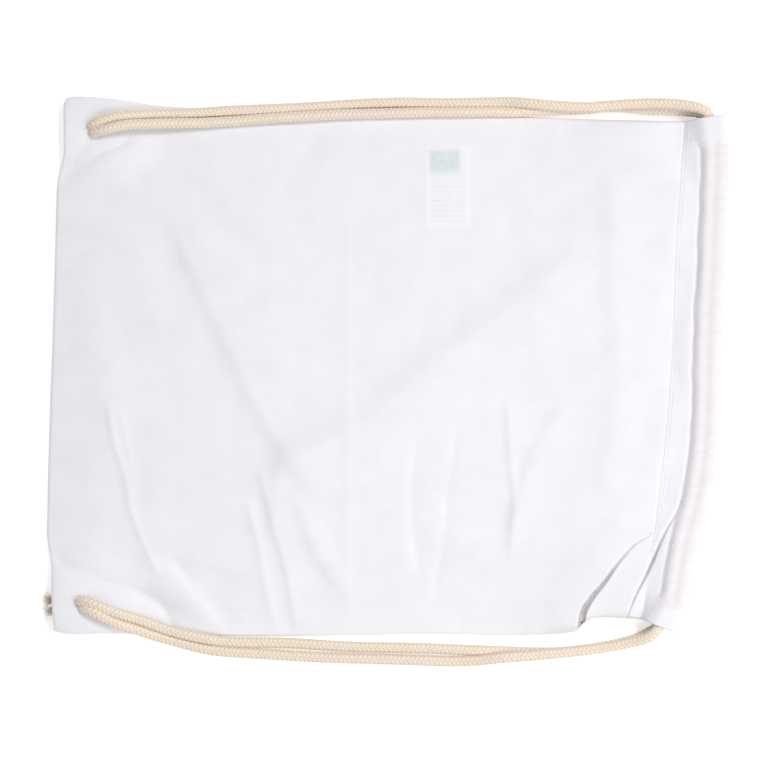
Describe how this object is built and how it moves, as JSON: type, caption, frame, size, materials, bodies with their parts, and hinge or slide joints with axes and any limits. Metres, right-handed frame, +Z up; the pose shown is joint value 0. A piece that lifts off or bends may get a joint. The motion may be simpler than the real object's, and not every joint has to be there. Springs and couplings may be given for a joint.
{
  "type": "drawstring gym bag",
  "caption": "White cotton drawstring gym bag lying flat, a sewn pouch with hemmed casings and doubled braided cords knotted through its bottom corners.",
  "frame": {"origin": "on the surface it lies on, under the middle of the cloth's box", "axes": "+X from the bottom fold to the mouth, +Y to the side of the upper cord, +Z up from the surface through the back to the front"},
  "size_m": [0.4717, 0.3921, 0.0244],
  "materials": {
    "white_cotton": "matte plain weave",
    "cream_cord": "matte braided cotton",
    "label_tape": "smooth woven tape"
  },
  "bodies": {
    "root": {"pouch": "white_cotton", "front_casing": "white_cotton", "back_casing": "white_cotton", "upper_cord": "cream_cord", "lower_cord": "cream_cord", "upper_knot": "cream_cord", "lower_knot": "cream_cord", "care_label": "label_tape"}
  },
  "joints": []
}
